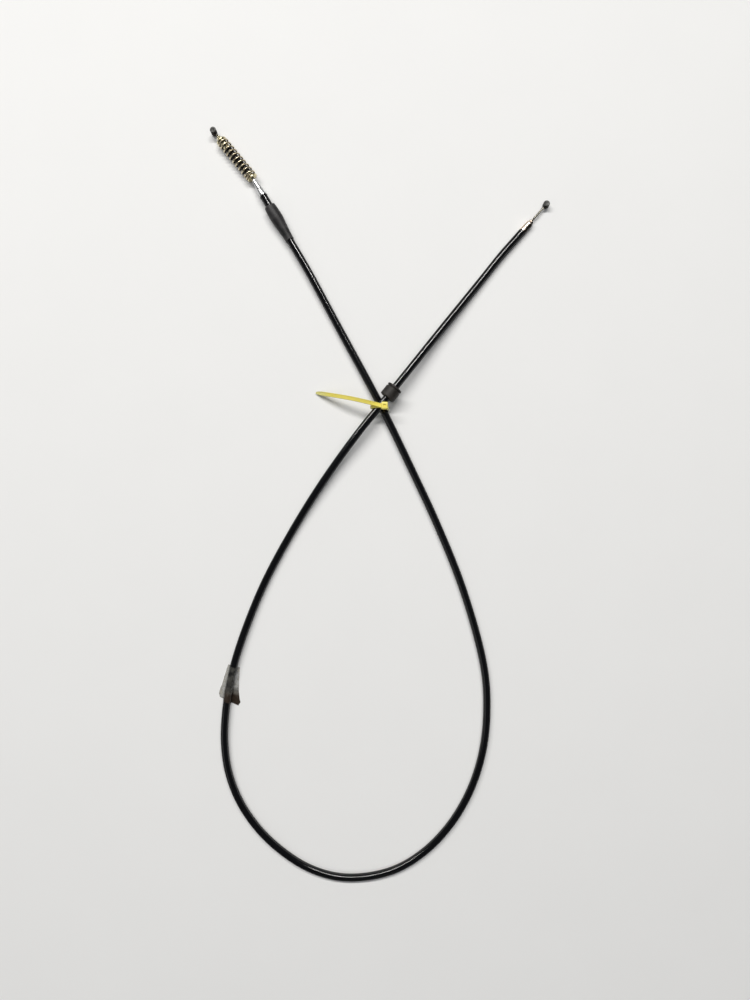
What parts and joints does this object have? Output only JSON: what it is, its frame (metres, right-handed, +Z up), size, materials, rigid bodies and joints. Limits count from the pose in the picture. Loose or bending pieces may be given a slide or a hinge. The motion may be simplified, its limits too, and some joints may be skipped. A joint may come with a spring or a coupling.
{
  "type": "rear brake cable",
  "caption": "Rear brake cable in a loose tied loop: glossy black casing, sliding inner wire, return spring, barrel nipples, copper-toned ferrule, rubber boot and grommet.",
  "frame": {"origin": "on the floor under the middle of the part's overall box", "axes": "+Y along the longest way, from the round end of the loop towards the two tied ends; +X towards the brake lever end; +Z up from the floor"},
  "size_m": [0.2816, 0.6259, 0.0176],
  "materials": {
    "vinyl": "glossy black vinyl, scuffed",
    "conduit_steel": "plain steel spiral",
    "liner_plastic": "natural slippery plastic",
    "wire_steel": "greased twisted strands",
    "cap_plastic": "glossy black",
    "bright_steel": "bright plated, lightly worn",
    "boot_rubber": "matt dark grey rubber, dusty",
    "zinc_yellow": "yellow zinc plate",
    "spring_steel": "yellow zinc plate, darkened with grease",
    "sleeve_rubber": "soft dark brown rubber, greasy",
    "nipple_steel": "dull dark plate",
    "copper_plate": "copper toned plate, bright",
    "grommet_rubber": "brown grey rubber, dusty",
    "tie_nylon": "pale yellow nylon",
    "tape_film": "clear film with brown dirt in the adhesive"
  },
  "bodies": {
    "casing": {"casing_jacket": "vinyl", "casing_armour": "conduit_steel", "casing_liner": "liner_plastic", "inner_wire": "wire_steel", "arm_end_cap": "cap_plastic", "arm_end_nose": "bright_steel", "rubber_boot": "boot_rubber", "inner_spring_seat": "zinc_yellow", "dust_sleeve": "sleeve_rubber", "return_spring": "spring_steel", "lever_end_ferrule": "copper_plate", "guide_grommet": "grommet_rubber", "cable_tie": "tie_nylon", "tape_flag": "tape_film"},
    "arm_slider": {"arm_end_wire": "wire_steel", "outer_spring_seat": "zinc_yellow", "arm_end_nipple": "nipple_steel"},
    "lever_slider": {"lever_end_wire": "wire_steel", "lever_end_nipple": "nipple_steel"}
  },
  "joints": [
    {"name": "arm_wire_slide", "type": "slide", "parent": "casing", "child": "arm_slider", "axis": [0.6414, -0.7672, 0], "range_m": [0, 0.018], "stiffness_N_per_m": 2000, "deforming": ["dust_sleeve", "return_spring", "arm_end_wire"]},
    {"name": "lever_wire_slide", "type": "slide", "parent": "casing", "child": "lever_slider", "axis": [0.6626, 0.749, 0], "range_m": [0, 0.018]}
  ],
  "couplings": [
    {"joint": "lever_wire_slide", "follows": "arm_wire_slide", "ratio": 1}
  ]
}
